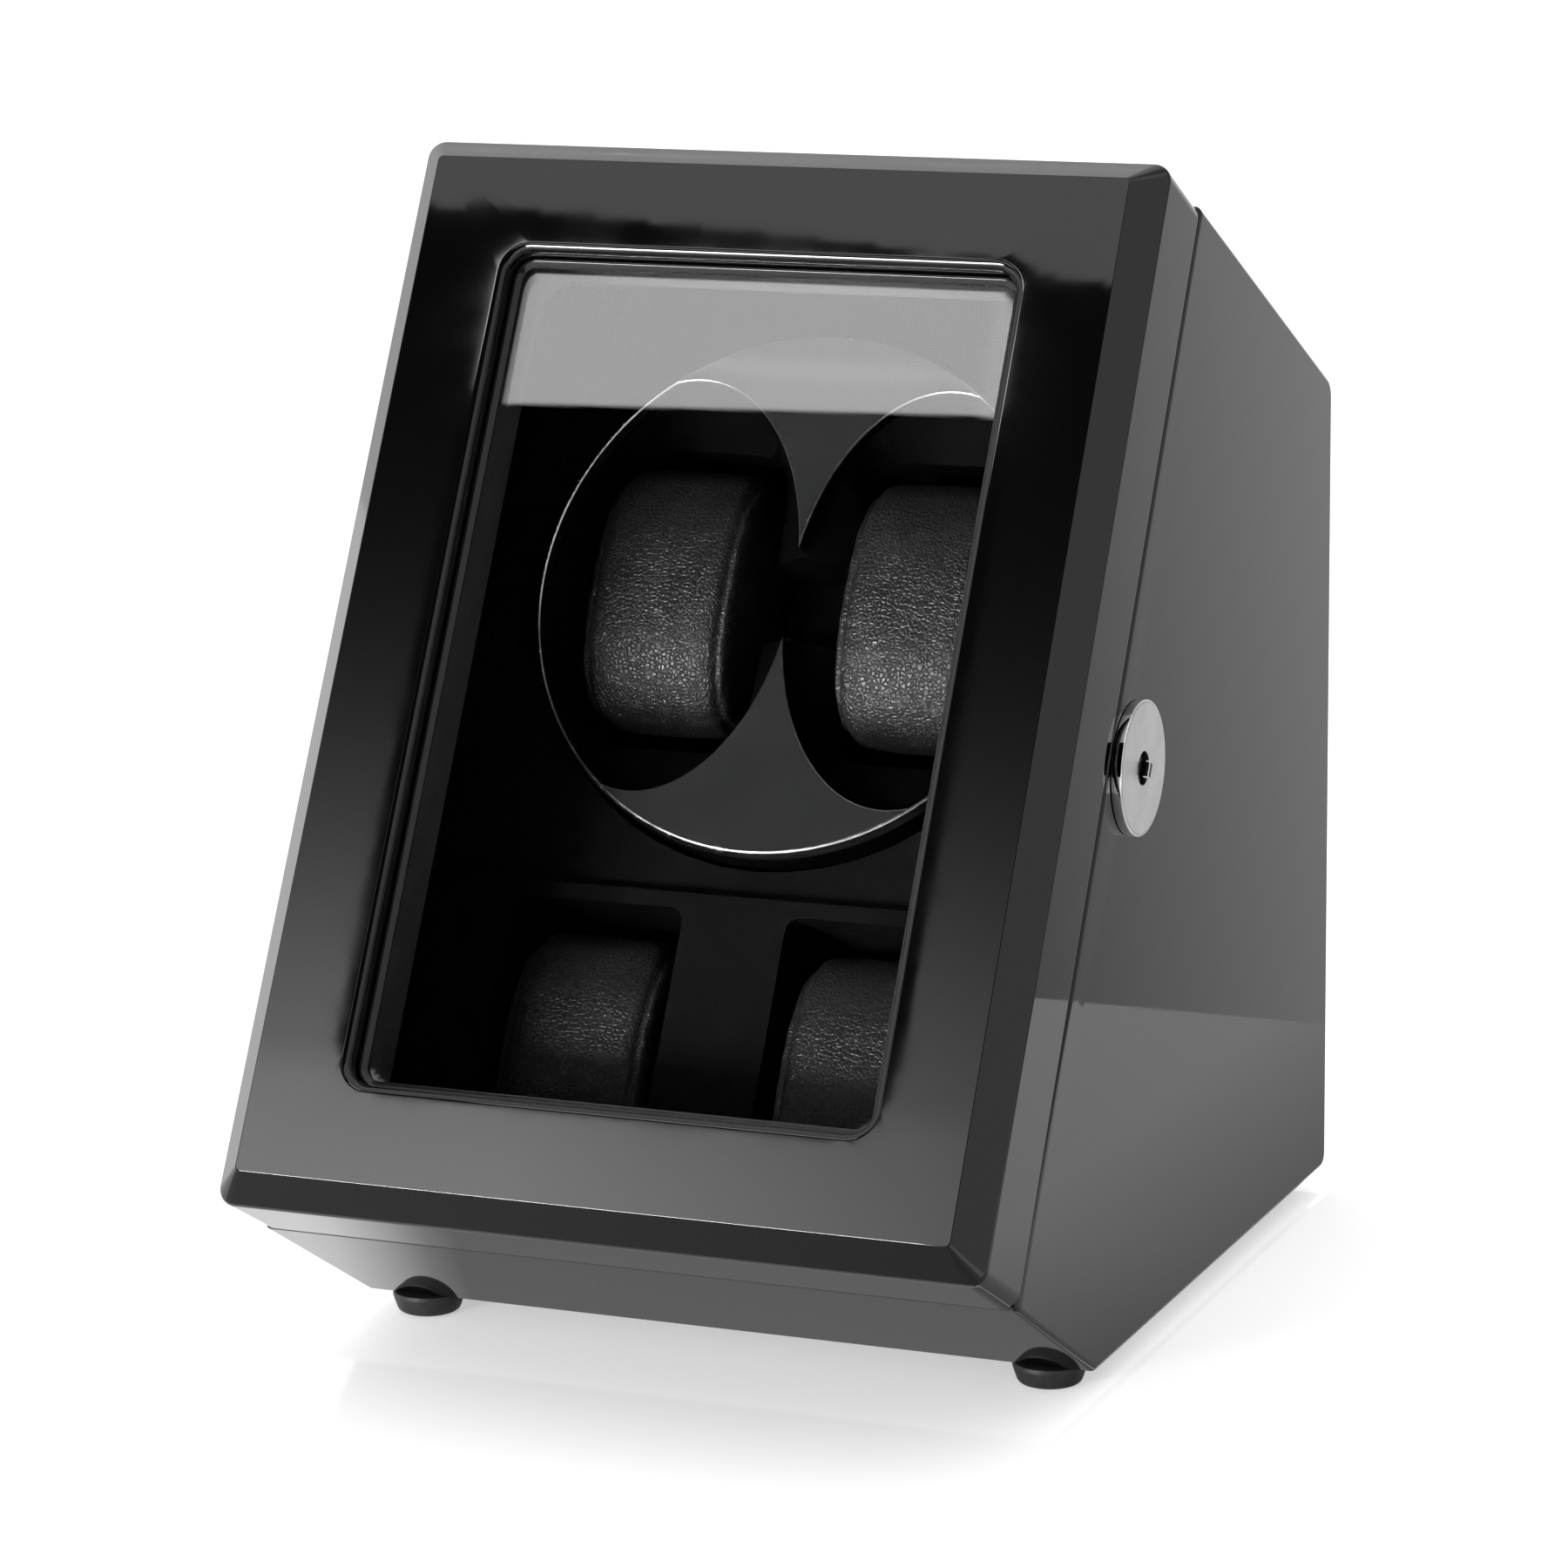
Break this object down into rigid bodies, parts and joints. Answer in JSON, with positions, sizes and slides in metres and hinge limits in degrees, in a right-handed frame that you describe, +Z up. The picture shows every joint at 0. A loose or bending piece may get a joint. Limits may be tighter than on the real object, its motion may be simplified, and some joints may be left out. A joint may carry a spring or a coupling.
{
  "type": "watch winder box",
  "caption": "Lacquered leaning box with a glazed hinged door, a motor-driven turntable for watch pillows, spare pillows in a tray, a side lock and rubber feet.",
  "frame": {"origin": "on the table under the middle of the box's outline", "axes": "+Z up, -Y towards the front where the door is, +X to the right seen from the front"},
  "size_m": [0.2288, 0.3122, 0.3258],
  "materials": {
    "lacquer": "black high-gloss piano lacquer on fibreboard",
    "rubber": "matt",
    "lining": "black leatherette on board",
    "fibreboard": "raw",
    "brass": "satin",
    "steel": "plated",
    "chrome": "polished rim, satin face",
    "black_plastic": "fine satin",
    "circuit": "solder resist",
    "glass": "clear",
    "gloss_grey": "glossy",
    "nylon": "natural",
    "pillow_leather": "fine-grained soft leatherette with a satin sheen"
  },
  "bodies": {
    "case": {"case_side_left": "lacquer", "case_side_right": "lacquer", "case_top": "lacquer", "case_back": "lacquer", "case_base": "lacquer", "case_lower_front": "lacquer", "foot_front_left": "rubber", "foot_front_right": "rubber", "foot_rear_left": "rubber", "foot_rear_right": "rubber", "fascia": "lining", "storage_tray": "lining", "motor_board": "fibreboard", "shaft_bush": "brass", "motor_bracket": "steel", "bracket_spacer_left": "brass", "bracket_spacer_right": "brass", "gear_motor": "steel", "control_panel": "black_plastic", "power_socket": "black_plastic", "programme_switch": "black_plastic", "control_board": "circuit", "lock_body": "chrome", "lock_nut": "steel", "case_keeper": "steel", "hinge_lower_case_leaf": "brass", "hinge_lower_pin": "brass", "hinge_upper_case_leaf": "brass", "hinge_upper_pin": "brass"},
    "door": {"door_rail_top": "lacquer", "door_rail_bottom": "lacquer", "door_stile_hinge": "lacquer", "door_stile_lock": "lacquer", "window_bead": "black_plastic", "window_glass": "glass", "glass_retainer": "black_plastic", "strike_plate": "steel", "door_magnet": "steel", "hinge_lower_door_leaf": "brass", "hinge_upper_door_leaf": "brass"},
    "turntable": {"turntable_plate": "gloss_grey", "turntable_drum": "black_plastic", "turntable_shaft": "steel", "drive_gear": "nylon", "shaft_clip": "steel"},
    "motor_output": {"motor_pinion": "nylon", "motor_shaft": "steel"},
    "lock": {"lock_barrel": "steel", "lock_key": "chrome", "lock_cam": "steel"},
    "pillow_left": {"pillow_left": "pillow_leather"},
    "pillow_right": {"pillow_right": "pillow_leather"},
    "stored_pillow_left": {"stored_pillow_left": "pillow_leather"},
    "stored_pillow_right": {"stored_pillow_right": "pillow_leather"},
    "programme_knob": {"programme_knob": "black_plastic"}
  },
  "joints": [
    {"name": "door_hinge", "type": "hinge", "parent": "case", "child": "door", "pos_m": [-0.1123, -0.05305, 0.17718], "axis": [0, -0.4818, -0.8763], "range_deg": [0, 105]},
    {"name": "turntable_spin", "type": "hinge", "parent": "case", "child": "turntable", "pos_m": [0, 0.01481, 0.19123], "axis": [0, -0.8763, 0.4818], "continuous": true},
    {"name": "motor_spin", "type": "hinge", "parent": "case", "child": "motor_output", "pos_m": [0, 0.03477, 0.13723], "axis": [0, -0.8763, 0.4818], "continuous": true},
    {"name": "lock_turn", "type": "hinge", "parent": "case", "child": "lock", "pos_m": [0.1, -0.03491, 0.16721], "axis": [1, 0, 0], "range_deg": [0, 90]},
    {"name": "pillow_left_pull", "type": "slide", "parent": "turntable", "child": "pillow_left", "axis": [0, -0.8763, 0.4818], "range_m": [0, 0.04]},
    {"name": "pillow_right_pull", "type": "slide", "parent": "turntable", "child": "pillow_right", "axis": [0, -0.8763, 0.4818], "range_m": [0, 0.04]},
    {"name": "stored_pillow_left_pull", "type": "slide", "parent": "case", "child": "stored_pillow_left", "axis": [0, -0.8763, 0.4818], "range_m": [0, 0.025]},
    {"name": "stored_pillow_right_pull", "type": "slide", "parent": "case", "child": "stored_pillow_right", "axis": [0, -0.8763, 0.4818], "range_m": [0, 0.025]},
    {"name": "programme_turn", "type": "hinge", "parent": "case", "child": "programme_knob", "pos_m": [0.016, 0.14707, 0.0665], "axis": [0, 1, 0], "range_deg": [0, 120]}
  ],
  "couplings": [
    {"joint": "motor_spin", "follows": "turntable_spin", "ratio": -4}
  ]
}
